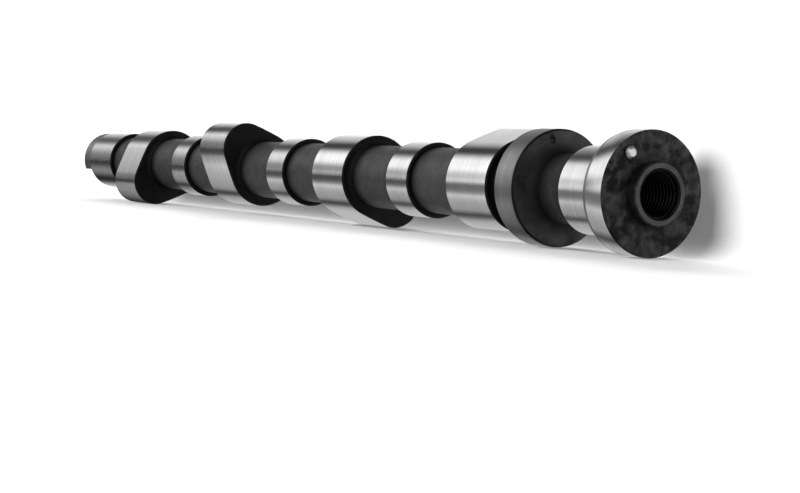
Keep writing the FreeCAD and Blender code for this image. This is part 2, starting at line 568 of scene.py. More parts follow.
CLOUDS = Pattern.CLOUDS
FINISHES = {
    Zone.LOBE: Finish("ground_lobe_iron", 0.66, 0.90, 0.09, 0.13, 1.0, lines=0.004, stains=0.12),
    Zone.JOURNAL: Finish("ground_journal_iron", 0.62, 0.88, 0.13, 0.19, 1.0, lines=0.007, stains=0.15),
    Zone.SATIN: Finish(
        "satin_turned_iron", 0.20, 0.42, 0.34, 0.42, 1.0, lines=0.03, line_scale=5000.0, stains=0.2
    ),
    Zone.CAST: Finish(
        "as_cast_iron", 0.002, 0.059, 0.46, 0.62, 0.35, CLOUDS, 0.3, 0.45, grain=0.16, stains=0.14
    ),
    Zone.SIDE: Finish(
        "dark_milled_side", 0.002, 0.009, 0.42, 0.55, 0.3, CLOUDS, 0.8, 0.22, grain=0.04, stains=0.3
    ),
    Zone.DISC_FACE: Finish(
        "turned_disc_face", 0.003, 0.088, 0.42, 0.6, 0.6, CLOUDS, 0.45, 0.3, grain=0.05, stains=0.3,
        stain_scale=70.0,
    ),
    Zone.FACE: Finish(
        "mottled_flange_face", 0.003, 0.068, 0.48, 0.6, 0.45, CLOUDS, 0.9, 0.35, grain=0.06, stains=0.65,
        stain_scale=165.0,
    ),
    Zone.RING: Finish("turned_ring", 0.045, 0.10, 0.38, 0.5, 0.7, CLOUDS, 0.6, grain=0.03, stains=0.3),
    # The bolt hole, the rear centre and the thread are painted near black as shade inside the holes.
    Zone.BORE: Finish("bore_painted_shade", 0.001, 0.007, 0.26, 0.40, 0.6, CLOUDS, 0.8, 0.25, grain=0.02, stains=0.4),
    Zone.PIN_END: Finish("bright_pin_end", 0.05, 0.95, 0.36, 0.5, 1.0, CLOUDS, 0.25, stains=0.1),
    # The pin's side is painted near black as shade round the pin; its end keeps the bright steel.
    Zone.PIN_SIDE: Finish("pin_side_painted_shade", 0.04, 0.14, 0.28, 0.4, 0.9, CLOUDS, 0.8, lines=0.01, stains=0.2),
}


# Half section

DRILL_POINT = math.radians(118.0)
FILLET_STEPS = 8
FILLET_ROUGH = 0.6


@dataclass
class Row:
    """One row of the half section, with the finish of the strip that follows it."""

    station: float
    radius: float
    zone: Zone
    cam: float = 0.0
    inset: float = 0.0
    nose: float = 0.0
    flat: float = 0.0
    rough: float = 0.0
    # clean: 1 keeps the strip's own colour; lower values darken it as painted shade in corners and recesses.
    clean: float = 1.0


def fillet_rows(
    shoulder: float, radius: float, fillet: float, behind: bool, clean: tuple[float, float], zone: Zone
) -> list[Row]:
    """The rows of a hollow fillet between a shoulder and an as-cast stretch, from front to back.

    Args:
        shoulder: The shoulder's distance along the shaft.
        radius: The stretch's radius.
        fillet: The fillet's radius.
        behind: Whether the stretch lies behind the shoulder.
        clean: The share of the colour that painted shade leaves at the shoulder and where the fillet runs
            out.
        zone: The fillet's finish.

    Returns:
        The rows.
    """
    way = 1 if behind else -1
    rows = []
    for step in range(FILLET_STEPS + 1):
        share = step / FILLET_STEPS
        turn = math.pi / 2 * share
        reach = fillet * (1 - math.cos(turn))
        rise = fillet * (1 - math.sin(turn))
        shade = clean[0] * (1 - share) ** 2 + clean[1] * share**2
        finish = Zone.CAST if behind and step == FILLET_STEPS else zone
        rough = FILLET_ROUGH * share
        rows.append(Row(shoulder + way * reach, radius + rise, finish, rough=rough, clean=shade))
    return rows if behind else rows[::-1]


@dataclass
class CastStretch:
    """A stretch of the shaft left as it was cast, with a fillet at either end or at both."""

    front: float
    back: float
    radius: float
    front_fillet: float = 0.0
    back_fillet: float = 0.0
    # Painted shade darkens the stretch in its fillets and over shade_reach from each shoulder; clean is the
    # share kept mid-stretch.
    clean: float = 1.0
    shade_reach: float = 5.0 * MM
    root_painted_light: float = 0.08
    shoulder_painted_light: float = 0.5
    # The fillets take this zone's finish, the near-black side finish unless given, to darken the corners as
    # painted shade.
    fillet_zone: Zone = Zone.SIDE
    step: float = 1.1 * MM

    def rows(self) -> list[Row]:
        """The rows from the front shoulder to the back one."""
        root = self.clean * self.root_painted_light
        shades = (self.shoulder_painted_light, root)
        rows = []
        if self.front_fillet:
            rows += fillet_rows(self.front, self.radius, self.front_fillet, True, shades, self.fillet_zone)
        else:
            rows.append(Row(self.front, self.radius, Zone.CAST, clean=root))
        first = self.front + self.front_fillet
        last = self.back - self.back_fillet
        count = max(2, round((last - first) / self.step))
        for i in range(1, count):
            station = first + (last - first) * i / count
            share = min(1.0, min(station - first, last - station) / self.shade_reach)
            clean = root + (self.clean - root) * share
            rows.append(Row(station, self.radius, Zone.CAST, rough=1.0, clean=clean))
        if self.back_fillet:
            rows += fillet_rows(self.back, self.radius, self.back_fillet, False, shades, self.fillet_zone)
        else:
            rows.append(Row(self.back, self.radius, Zone.SIDE, clean=root))
        return rows


@dataclass
class GroundBand:
    """A ground band with its edges broken, and its dark end faces."""

    front: float
    back: float
    radius: float
    front_chamfer: float
    back_chamfer: float
    zone: Zone = Zone.JOURNAL
    end_zone: Zone = Zone.SIDE

    def rows(self) -> list[Row]:
        """The rows from the front edge to the back one."""
        return [
            Row(self.front, self.radius - self.front_chamfer, self.end_zone),
            Row(self.front + self.front_chamfer, self.radius, self.zone),
            Row(self.back - self.back_chamfer, self.radius, self.zone),
            Row(self.back, self.radius - self.back_chamfer, self.end_zone),
        ]


@dataclass
class Lobe:
    """One cam lobe: rows that follow the cam rule, its nose in a given direction."""

    station: float
    nose: float
    width: float = 23.2 * MM
    chamfer: float = 0.45 * MM

    def rows(self) -> list[Row]:
        """The rows from the front edge to the back one."""
        front, back = self.station - self.width / 2, self.station + self.width / 2
        return [
            Row(front, 0.0, Zone.SIDE, cam=1.0, inset=self.chamfer, nose=self.nose),
            Row(front + self.chamfer, 0.0, Zone.LOBE, cam=1.0, nose=self.nose),
            Row(back - self.chamfer, 0.0, Zone.LOBE, cam=1.0, nose=self.nose),
            Row(back, 0.0, Zone.SIDE, cam=1.0, inset=self.chamfer, nose=self.nose),
        ]


@dataclass
class DriveFlange:
    """The flange with its bolt hole and locating ring, and the grinding undercut behind it."""

    radius: float = 18.45 * MM
    thickness: float = 9.1 * MM
    chamfer: float = 0.5 * MM
    ease_length: float = 1.5 * MM
    ease_drop: float = 0.4 * MM
    undercut_width: float = 1.1 * MM
    undercut_radius: float = 12.8 * MM
    hole_radius: float = 7.0 * MM
    mouth_chamfer: float = 0.55 * MM
    hole_depth: float = 34.0 * MM
    ring_wall: float = 1.8 * MM
    ring_height: float = 3.4 * MM
    ring_chamfer: float = 0.45 * MM
    # Painted shade darkens the ring's outer side and the flange face round its foot, over foot_shade_width.
    ring_side_painted_light: float = 0.25
    foot_painted_light: float = 0.4
    foot_shade_width: float = 2.2 * MM

    def rows(self) -> list[Row]:
        """The rows from the drill point out of the hole, over the flange and into the undercut."""
        bottom = self.hole_depth - self.ring_height
        mouth = -self.ring_height
        point = self.hole_radius / math.tan(DRILL_POINT / 2)
        ring = self.hole_radius + self.mouth_chamfer + self.ring_wall
        back = self.thickness + self.undercut_width
        return [
            Row(bottom + point, 0.0, Zone.BORE),
            Row(bottom, self.hole_radius, Zone.BORE),
            Row(mouth + self.mouth_chamfer, self.hole_radius, Zone.BORE),
            Row(mouth, self.hole_radius + self.mouth_chamfer, Zone.RING),
            Row(mouth, ring - self.ring_chamfer, Zone.FACE),
            Row(mouth + self.ring_chamfer, ring, Zone.FACE, clean=self.ring_side_painted_light),
            Row(0.0, ring, Zone.FACE, clean=self.foot_painted_light),
            Row(0.0, ring + self.foot_shade_width, Zone.FACE),
            Row(0.0, self.radius - self.chamfer, Zone.FACE),
            Row(self.chamfer, self.radius, Zone.JOURNAL),
            Row(self.thickness - self.ease_length, self.radius, Zone.SATIN),
            Row(self.thickness, self.radius - self.ease_drop, Zone.SIDE),
            Row(self.thickness, self.undercut_radius, Zone.SIDE),
            Row(back, self.undercut_radius, Zone.SIDE),
        ]


@dataclass
class DriveEnd:
    """The half-round end behind the rear journal, with the centre that the shaft was ground on."""

    front: float
    radius: float = 12.8 * MM
    length: float = 8.7 * MM
    chamfer: float = 1.0 * MM
    mouth_radius: float = 4.0 * MM
    drill_radius: float = 1.6 * MM
    depth: float = 7.0 * MM
    centre_angle: float = math.radians(60.0)

    def rows(self) -> list[Row]:
        """The rows from the rear journal's end face to the bottom of the centre."""
        end = self.front + self.length
        cone = (self.mouth_radius - self.drill_radius) / math.tan(self.centre_angle / 2)
        bottom = end - self.depth
        point = self.drill_radius / math.tan(DRILL_POINT / 2)
        return [
            Row(self.front, self.radius, Zone.SATIN, flat=1.0),
            Row(end - self.chamfer, self.radius, Zone.SATIN, flat=1.0),
            Row(end, self.radius - self.chamfer, Zone.SIDE, flat=1.0),
            Row(end, self.mouth_radius, Zone.BORE),
            Row(end - cone, self.drill_radius, Zone.BORE),
            Row(bottom, self.drill_radius, Zone.BORE),
            Row(bottom - point, 0.0, Zone.BORE),
        ]


# Turned skins

class TurnedTree:
    """The node tree that turns rows into a closed skin and gives each strip its finish."""

    ATTRIBUTES = ("cam", "inset", "nose", "flat", "rough")
    SIZES = (
        "Base Radius", "Nose Radius", "Nose Offset", "Flank Radius",
        "Flat Height", "Waviness", "Wave Scale", "Seed",
    )

    def __init__(self, name: str, materials: dict[Zone, bpy.types.Material]) -> None:
        """Builds the tree.

        Args:
            name: The tree's name.
            materials: The finish of each zone.
        """
        self.name = name
        self.materials = materials
        self.tree = self._build()

    def _build(self) -> bpy.types.NodeTree:
        """Makes the nodes."""
        inputs = {"Rows": GEOMETRY, "Columns": "NodeSocketInt"} | {size: FLOAT for size in self.SIZES}
        inputs["Centre"] = VECTOR
        nodes, given = new_tree(self.name, "GeometryNodeTree", inputs, {"Skin": GEOMETRY})
        rows, columns = given["Rows"], given["Columns"]
        count = nodes.add("GeometryNodeAttributeDomainSize", {0: rows}, component="MESH")
        counts = {"Vertices X": count.outputs["Point Count"], "Vertices Y": columns + 1}
        grid = nodes.add("GeometryNodeMeshGrid", counts)
        index = nodes.value(nodes.add("GeometryNodeInputIndex"))
        row = (index / (columns + 1)).floor()
        column = index - row * (columns + 1)

        def sample(name: str, kind: str = "FLOAT", at: Value = row) -> Value:
            """The value of a row's attribute at a row number."""
            read = nodes.add("GeometryNodeInputNamedAttribute", {"Name": name}, data_type=kind)
            inputs = {0: rows, "Value": read, "Index": at}
            taken = nodes.add("GeometryNodeSampleIndex", inputs, data_type=kind, domain="POINT", clamp=True)
            return nodes.value(taken)

        # Carries each row's painted shade onto the skin.
        with_painted_light = nodes.store(grid.outputs["Mesh"], "clean", sample("clean"))
        zoned = nodes.store(with_painted_light, "zone", sample("zone", "INT", (index / columns).floor()), "INT", "FACE")
        angle = column * FULL_TURN / columns + SEAM_ANGLE
        cam, inset, nose, flat, rough = (sample(name) for name in self.ATTRIBUTES)
        station, radius = sample("station"), sample("radius")
        along, side = self._cam_point(nodes, given, angle - nose, inset)
        across = cam.between(radius * angle.cosine(), along * nose.cosine() - side * nose.sine())
        up = cam.between(radius * angle.sine(), along * nose.sine() + side * nose.cosine())
        up = flat.between(up, nodes.math("MAXIMUM", up, given["Flat Height"]))
        where = nodes.add("ShaderNodeCombineXYZ", {0: station * -1.0, 1: across, 2: up})
        waves = nodes.add(
            "ShaderNodeTexNoise",
            {"Vector": where, "Scale": given["Wave Scale"], "W": given["Seed"]},
            noise_dimensions="4D",
        )
        swell = (nodes.value(waves) - 0.5) * given["Waviness"] * rough
        swollen = swell / nodes.math("MAXIMUM", radius, MM) + 1.0
        placed = nodes.add("ShaderNodeCombineXYZ", {0: station * -1.0, 1: across * swollen, 2: up * swollen})
        moved = nodes.add("ShaderNodeVectorMath", {0: placed, 1: given["Centre"]}, operation="ADD")
        skin = nodes.add("GeometryNodeSetPosition", {"Geometry": zoned, "Position": moved})
        closed = nodes.add("GeometryNodeMergeByDistance", {"Geometry": skin, "Distance": MERGE_DISTANCE})
        last = nodes.add("GeometryNodeRealizeInstances", {"Geometry": closed})
        zone = nodes.add("GeometryNodeInputNamedAttribute", {"Name": "zone"}, data_type="INT")
        for number, material in self.materials.items():
            pair = {2: zone, 3: int(number)}
            chosen = nodes.add("FunctionNodeCompare", pair, data_type="INT", operation="EQUAL")
            dress = {"Geometry": last, "Selection": chosen, "Material": material}
            last = nodes.add("GeometryNodeSetMaterial", dress)
        nodes.add("NodeGroupOutput", {"Skin": last})
        return nodes.tree

    def _cam_point(
        self, nodes: Nodes, given: dict[str, Value], turn: Value, inset: Value
    ) -> tuple[Value, Value]:
        """A point of the cam, where its surface faces a given way from the nose.

        The base circle, the two flanks and the nose are arcs, each tangent to the next, so the way that the
        surface faces says which arc the point is on.

        Args:
            nodes: The tree's builder.
            given: The group's inputs by name.
            turn: The way that the surface faces, as an angle from the nose.
            inset: How far the profile is drawn in.

        Returns:
            The point along the nose's direction and across it.
        """
        base, nose, offset, flank = (given[name] for name in self.SIZES[:4])
        to_base, to_nose = flank - base, flank - nose
        cosine = (offset * offset + to_base * to_base - to_nose * to_nose) / (2.0 * offset * to_base)
        base_turn = math.pi - nodes.math("ARCCOSINE", cosine)
        flank_across = to_base * base_turn.sine()
        flank_along = to_base * base_turn.cosine()
        nose_turn = nodes.math("ARCTAN2", flank_across, offset + flank_along)
        way = nodes.math("WRAP", turn, math.pi, -math.pi)
        on_nose = way.absolute().below(nose_turn)
        off_base = way.absolute().below(base_turn)
        on_flank = off_base - on_nose
        centre_along = on_nose * offset - on_flank * flank_along
        centre_across = on_flank * way.sign() * flank_across * -1.0
        reach = off_base.between(base, on_nose.between(flank, nose)) - inset
        return centre_along + reach * way.cosine(), centre_across + reach * way.sine()


def rows_object(name: str, rows: list[Row]) -> bpy.types.Object:
    """Makes an object whose vertices are rows, for the turning tree to read.

    Args:
        name: The piece's name.
        rows: The half section.

    Returns:
        The object.
    """
    piece = mesh_object(name, [(-row.station, 0.0, row.radius) for row in rows])
    for attribute in ("station", "radius", "clean") + TurnedTree.ATTRIBUTES:
        set_attribute(piece.data, attribute, [getattr(row, attribute) for row in rows])
    set_attribute(piece.data, "zone", [int(row.zone) for row in rows], "INT")
    return piece


# Pieces

@dataclass
class CamShaft:
    """The one-piece casting with its ground lobes and journals."""

    base_radius: float = 14.87 * MM
    nose_radius: float = 10.45 * MM
    nose_offset: float = 11.35 * MM
    flank_radius: float = 130.0 * MM
    journal_radius: float = 13.0 * MM
    journal_width: float = 14.3 * MM
    journal_chamfer: float = 0.5 * MM
    front_journal_radius: float = 13.4 * MM
    front_journal_length: float = 18.5 * MM
    rear_journal_length: float = 26.2 * MM
    drive_end_step: float = 0.2 * MM
    barrel_radius: float = 11.3 * MM
    barrel_fillet: float = 1.8 * MM
    front_barrel_length: float = 9.4 * MM
    rear_barrel_length: float = 20.2 * MM
    neck_radius: float = 10.8 * MM
    neck_length: float = 16.1 * MM
    neck_fillet: float = 3.4 * MM
    disc_radius: float = 18.25 * MM
    disc_width: float = 10.1 * MM
    disc_chamfer: float = 0.6 * MM
    # Painted shade darkens the neck between the front journal and the disc, its fillet, and a band of the
    # disc's face round the fillet.
    disc_shade_width: float = 1.4 * MM
    disc_foot_painted_light: float = 0.9
    neck_painted_light: float = 0.6
    neck_shade_reach: float = 7.0 * MM
    neck_shoulder_painted_light: float = 0.7
    lobe_width: float = 23.2 * MM
    lobe_pitch: float = 91.0 * MM
    nose_angles: tuple[float, ...] = (45.0, 315.0, 135.0, 225.0)
    mark_inset: float = 3.15 * MM
    mark_angle: float = math.radians(105.0)
    mark_radius: float = 1.0 * MM
    mark_depth: float = 0.8 * MM
    mark_sides: int = 32
    flat_height: float = -4.75 * MM
    waviness: float = 0.12 * MM
    wave_scale: float = 120.0
    seed: float = 7.0
    columns: int = 180
    sharp_angle: float = math.radians(26.0)
    flange: DriveFlange = field(default_factory=DriveFlange)

    def rows(self) -> list[Row]:
        """The whole half section, from the bolt hole's bottom to the bottom of the rear centre."""
        rows = self.flange.rows()
        at = self.flange.thickness + self.flange.undercut_width
        front_end = self.flange.thickness + self.front_journal_length
        rows += GroundBand(at, front_end, self.front_journal_radius, 0.0, self.journal_chamfer).rows()[1:]
        disc_front = front_end + self.neck_length
        rows += CastStretch(
            front_end,
            disc_front,
            self.neck_radius,
            back_fillet=self.neck_fillet,
            clean=self.neck_painted_light,
            shade_reach=self.neck_shade_reach,
            shoulder_painted_light=self.neck_shoulder_painted_light,
            fillet_zone=Zone.DISC_FACE,
        ).rows()
        foot = self.neck_radius + self.neck_fillet + self.disc_shade_width
        rows.append(Row(disc_front, foot, Zone.DISC_FACE, clean=self.disc_foot_painted_light))
        disc_back = disc_front + self.disc_width
        rows += GroundBand(
            disc_front, disc_back, self.disc_radius, self.disc_chamfer, self.disc_chamfer, Zone.SATIN
        ).rows()
        lobe_front = disc_back + self.front_barrel_length
        fillet = self.barrel_fillet
        rows += CastStretch(disc_back, lobe_front, self.barrel_radius, fillet, fillet).rows()
        for number, nose in enumerate(self.nose_angles):
            rows[-1].zone = Zone.SIDE
            station = lobe_front + self.lobe_width / 2 + self.lobe_pitch * number
            rows += Lobe(station, math.radians(nose), self.lobe_width).rows()
            back = station + self.lobe_width / 2
            last = number == len(self.nose_angles) - 1
            gap = (self.lobe_pitch - self.lobe_width - self.journal_width) / 2
            gap = self.rear_barrel_length if last else gap
            width = self.rear_journal_length if last else self.journal_width
            back_chamfer = self.drive_end_step if last else self.journal_chamfer
            rows += CastStretch(back, back + gap, self.barrel_radius, front_fillet=fillet).rows()
            rows += GroundBand(
                back + gap, back + gap + width, self.journal_radius, self.journal_chamfer, back_chamfer
            ).rows()
            if last:
                rows += DriveEnd(back + gap + width).rows()
            else:
                rows += CastStretch(
                    back + gap + width, back + 2 * gap + width, self.barrel_radius, back_fillet=fillet
                ).rows()
        return rows

    def _punch(self, piece: bpy.types.Object) -> None:
        """Cuts the punched timing mark into the thrust disc's front face."""
        front = self.flange.thickness + self.front_journal_length + self.neck_length
        circle = self.disc_radius - self.mark_inset
        across, up = circle * math.cos(self.mark_angle), circle * math.sin(self.mark_angle)
        shape = bmesh.new()
        turn = Matrix.Rotation(math.radians(-90.0), 4, "Y")
        bmesh.ops.create_cone(
            shape,
            cap_ends=True,
            segments=self.mark_sides,
            radius1=self.mark_radius * 2,
            radius2=0.0,
            depth=self.mark_depth * 2,
            matrix=Matrix.Translation((-front, across, up)) @ turn,
        )
        slots = [material.name for material in piece.data.materials]
        for face in shape.faces:
            face.material_index = slots.index(FINISHES[Zone.DISC_FACE].name)
        punch = mesh_object("punch")
        shape.to_mesh(punch.data)
        shape.free()
        cut = piece.modifiers.new("timing_mark", "BOOLEAN")
        cut.object = punch
        cut.solver = "EXACT"
        cut.material_mode = "INDEX"
        piece.data = plain_mesh(piece, cut)
        bpy.data.objects.remove(punch)

    def make(self, turning: TurnedTree) -> bpy.types.Object:
        """Builds the piece in the camshaft node's place.

        Args:
            turning: The tree that turns rows into a skin.

        Returns:
            The piece.
        """
        piece = rows_object("shaft_skin", self.rows())
        run_tree(piece, turning.tree, {"Columns": self.columns} | sizes_of(self, turning.SIZES))
        self._punch(piece)
        smooth(piece.data, self.sharp_angle)
        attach(piece, Body.ROOT.value)
        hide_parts("camshaft")
        return piece


@dataclass
class DowelPin:
    """The dowel that times the wheel, pressed into the flange."""

    radius: float = 2.0 * MM
    depth: float = 7.0 * MM
    height: float = 1.6 * MM
    nose_chamfer: float = 0.9 * MM
    tail_chamfer: float = 0.4 * MM
    circle_radius: float = 14.7 * MM
    angle: float = math.radians(128.5)
    columns: int = 64
    # The side that stands out of the flange is darkened further as painted shade.
    foot_painted_light: float = 0.1
    sharp_angle: float = math.radians(30.0)

    def rows(self) -> list[Row]:
        """The rows from the pin's nose to its tail."""
        return [
            Row(-self.height, 0.0, Zone.PIN_END),
            Row(-self.height, self.radius - self.nose_chamfer, Zone.PIN_END),
            Row(self.nose_chamfer - self.height, self.radius, Zone.PIN_SIDE, clean=self.foot_painted_light),
            Row(0.0, self.radius, Zone.PIN_SIDE, clean=self.foot_painted_light),
            Row(self.depth - self.tail_chamfer, self.radius, Zone.PIN_SIDE),
            Row(self.depth, self.radius - self.tail_chamfer, Zone.PIN_SIDE),
            Row(self.depth, 0.0, Zone.PIN_SIDE),
        ]

    def make(self, turning: TurnedTree) -> bpy.types.Object:
        """Builds the piece in the dowel node's place.

        Args:
            turning: The tree that turns rows into a skin.

        Returns:
            The piece.
        """
        piece = rows_object("dowel_skin", self.rows())
        centre = (0.0, self.circle_radius * math.cos(self.angle), self.circle_radius * math.sin(self.angle))
        run_tree(piece, turning.tree, {"Columns": self.columns, "Centre": centre})
        smooth(piece.data, self.sharp_angle)
        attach(piece, Body.ROOT.value)
        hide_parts("dowel_pin")
        return piece


@dataclass
class BoltThread:
    """The right-hand thread on the bolt hole's wall, as one ridge wound along it."""

    SIZES = ("Outer Radius", "Ridge", "Pitch", "Turns", "Front")
    outer_radius: float = 7.0 * MM
    ridge: float = 0.81 * MM
    pitch: float = 1.5 * MM
    turns: float = 18.0
    front: float = -2.3 * MM
    steps_per_turn: int = 48

    def _tree(self, material: bpy.types.Material) -> bpy.types.NodeTree:
        """Builds the tree that winds a three-sided ridge along the hole.

        Args:
            material: The thread's finish.

        Returns:
            The tree.
        """
        inputs = {"Mesh": GEOMETRY} | {name: FLOAT for name in self.SIZES} | {"Steps": "NodeSocketInt"}
        nodes, given = new_tree("wound_thread", "GeometryNodeTree", inputs, {"Thread": GEOMETRY})
        radius, height, pitch, turns, front = (given[name] for name in self.SIZES)
        size = pitch / math.sqrt(3.0)
        reach = radius - height + size
        spiral = nodes.add("GeometryNodeCurveSpiral", {
            "Resolution": given["Steps"],
            "Rotations": turns,
            "Start Radius": reach,
            "End Radius": reach,
            "Height": pitch * turns,
            "Reverse": False,
        })
        upright = nodes.add("GeometryNodeSetCurveNormal", {0: spiral}, mode="Z_UP")
        section = nodes.add("GeometryNodeCurvePrimitiveCircle", {"Resolution": 3, "Radius": size})
        turned = nodes.add("GeometryNodeTransform", {0: section, "Rotation": (0.0, 0.0, math.pi)})
        ridge = nodes.add("GeometryNodeCurveToMesh", {0: upright, 1: turned, "Fill Caps": True})
        laid = nodes.add("GeometryNodeTransform", {
            0: ridge,
            "Translation": nodes.add("ShaderNodeCombineXYZ", {0: front * -1.0}),
            "Rotation": (0.0, -math.pi / 2, 0.0),
        })
        # The thread gets no extra painted shade; its finish is the bore's painted shade.
        with_painted_light = nodes.store(laid, "clean", 1.0)
        whole = nodes.add("GeometryNodeRealizeInstances", {0: with_painted_light})
        dressed = nodes.add("GeometryNodeSetMaterial", {"Geometry": whole, "Material": material})
        nodes.add("NodeGroupOutput", {"Thread": dressed})
        return nodes.tree

    def make(self, material: bpy.types.Material) -> bpy.types.Object:
        """Builds the piece.

        Args:
            material: The thread's finish.

        Returns:
            The piece.
        """
        piece = mesh_object("bolt_thread")
        run_tree(piece, self._tree(material), sizes_of(self, self.SIZES) | {"Steps": self.steps_per_turn})
        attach(piece, Body.ROOT.value)
        return piece


# Studio

@dataclass(frozen=True)
class Lamp:
    """A soft far lamp: the direction to it, its share of the floor's light and the angle that it fills."""

    name: str
    towards: tuple[float, float, float]
    share: float
    softness: float
    rings: int = 12
    spokes: int = 36

    def light_on(self, normal: Vector) -> float:
        """How much light the part of the lamp above the floor gives a surface.

        Args:
            normal: The way that the surface faces.

        Returns:
            The light, where the level floor gets about the lamp's share.
        """
        way = Vector(self.towards).normalized()
        side = way.orthogonal().normalized()
        other = way.cross(side)
        total = 0.0
        for ring in range(self.rings):
            reach = math.tan(math.radians(self.softness / 2)) * math.sqrt((ring + 0.5) / self.rings)
            for spoke in range(self.spokes):
                turn = FULL_TURN * spoke / self.spokes
                point = way + (side * math.cos(turn) + other * math.sin(turn)) * reach
                if point.z > 0.0:
                    total += max(0.0, normal.dot(point)) / point.length**4
        return self.share / way.z * total / (self.rings * self.spokes)

    def hang(self, lit: bpy.types.Collection) -> None:
        """Adds the lamp to the scene.

        Args:
            lit: What the lamp lights, or leaves out where its items say so.
        """
        data = bpy.data.lights.new(self.name, "SUN")
        way = Vector(self.towards).normalized()
        data.energy = self.share * math.pi / way.z
        data.angle = math.radians(self.softness)
        lamp = add_object(self.name, data)
        lamp.rotation_mode = "QUATERNION"
        lamp.rotation_quaternion = (-way).to_track_quat("-Z", "Y")
        hide_from(lamp, "glossy")
        lamp.light_linking.receiver_collection = lit


@dataclass
class Studio:
    """The white paper, the cards that the bright metal shows, the lamps, the world and the camera."""

    floor_height: float = -18.48 * MM
    floor_gap: float = 0.1 * MM
    floor_size: float = 60.0
    floor_grey: float = 0.8
    sky_share: float = 0.40
    # The sweep is paper that bends up from the floor close behind the shaft.
    sweep_distance: float = 20.5 * MM
    sweep_radius: float = 8.0 * MM
    sweep_steps: int = 24
    sweep_reach: float = 2.0
    sweep_spare: float = 0.10
    sweep_sharp: float = math.radians(30.0)
    blind_top: float = -9.0 * MM
    blind_ends: tuple[float, float] = (-0.370, -0.012)
    lamps: tuple[Lamp, ...] = (
        Lamp("low", (-0.45, -1.0, 0.2), 0.145, 50.0),
        Lamp("key", (0.5, -0.6, 0.8), 0.055, 28.0),
        Lamp("back", (-0.95, 0.15, 0.38), 0.40, 35.0),
    )
    paper_lamps: tuple[Lamp, ...] = (
        Lamp("paper_low", (-0.28, -1.0, 0.42), 1.9, 36.0),
        Lamp("paper_high", (-0.2, 0.0, 1.0), 0.9, 90.0),
        Lamp("paper_back", (-0.90, 0.43, 0.32), 2.4, 40.0),
    )
    card_distance: float = 0.42
    card_lift: float = 0.2 * MM
    card_ends: tuple[float, float] = (-2.4, 1.8)
    # Where the cards pass from one brightness to the next: the place along the shaft for a card at no
    # distance, and how far it moves back for each metre of a card's distance, as reflected rays run back.
    card_changes: tuple[tuple[float, float], ...] = (
        (-0.37, 1.664), (-0.23, 1.664), (-0.066, 1.664), (-0.052, 1.664), (-0.090, 1.24), (-0.070, 1.24),
    )
    # Brightness round the shaft, by the angle in degrees above the horizon on the camera's side, as the
    # flange, the tip, the front and the rear of the shaft show it.
    cards: tuple[tuple[float, ...], ...] = (
        (-2.5, 0.5, 0.34, 0.19, 0.08), (0.0, 0.55, 0.42, 0.24, 0.09), (3.0, 0.85, 0.78, 0.48, 0.15),
        (8.0, 0.95, 0.84, 0.48, 0.18), (14.0, 0.86, 0.68, 0.35, 0.21), (22.0, 0.73, 0.76, 0.38, 0.25),
        (29.0, 1.05, 1.08, 0.74, 0.32), (36.0, 1.15, 1.28, 1.12, 0.45), (46.0, 1.05, 1.2, 1.25, 0.62),
        (57.0, 1.08, 1.18, 1.18, 0.82), (64.0, 1.06, 0.9, 0.9, 0.76), (71.0, 0.7, 0.5, 0.5, 0.48),
        (78.0, 0.26, 0.15, 0.15, 0.22), (84.0, 0.095, 0.05, 0.05, 0.11), (95.0, 0.05, 0.06, 0.06, 0.08),
        (100.0, 0.07, 0.14, 0.14, 0.12), (106.0, 0.125, 0.3, 0.3, 0.18), (112.0, 0.19, 0.44, 0.44, 0.3),
        (120.0, 0.29, 0.58, 0.58, 0.48), (128.0, 0.39, 0.66, 0.66, 0.6), (136.0, 0.5, 0.74, 0.74, 0.72),
        (144.0, 0.62, 0.85, 0.85, 0.84), (152.0, 0.82, 0.98, 0.98, 0.94), (168.0, 0.95, 1.06, 1.06, 1.02),
        (182.5, 0.95, 1.06, 1.06, 1.06),
    )
    # Brightness on the floor, by the distance in millimetres on the camera's side, in the same way.
    floor_cards: tuple[tuple[float, ...], ...] = (
        (400.0, 0.2, 0.2, 0.12, 0.06), (140.0, 0.18, 0.18, 0.08, 0.05), (85.0, 0.18, 0.18, 0.09, 0.05),
        (62.0, 0.2, 0.2, 0.13, 0.07), (48.0, 0.31, 0.31, 0.28, 0.11), (41.0, 0.5, 0.5, 0.5, 0.15),
        (35.7, 0.7, 0.7, 0.7, 0.19), (28.0, 0.52, 0.52, 0.52, 0.25), (22.0, 0.42, 0.42, 0.42, 0.26),
        (18.6, 0.39, 0.39, 0.39, 0.19), (15.5, 0.36, 0.36, 0.36, 0.12), (13.3, 0.16, 0.22, 0.22, 0.06),
        (11.6, 0.07, 0.08, 0.08, 0.03), (10.4, 0.14, 0.07, 0.07, 0.02), (8.8, 0.34, 0.16, 0.16, 0.02),
        (7.0, 0.48, 0.38, 0.38, 0.04), (5.0, 0.5, 0.5, 0.5, 0.12), (2.0, 0.55, 0.55, 0.55, 0.36),
        (-6.0, 0.56, 0.56, 0.56, 0.68), (-60.0, 0.5, 0.5, 0.5, 0.5), (-400.0, 0.52, 0.52, 0.52, 0.5),
    )
    # The place is in millimetres, and the two directions are where the camera looks and what is up for it.
    camera_place: tuple[float, float, float] = (380.66, -316.56, 7.55)
    camera_ahead: tuple[float, float, float] = (-0.85193, 0.52104, -0.05222)
    camera_above: tuple[float, float, float] = (-0.06686, -0.00933, 0.99772)
    camera_lens: float = 77.20
    camera_sensor: float = 36.0
    camera_clip: tuple[float, float] = (0.01, 200.0)

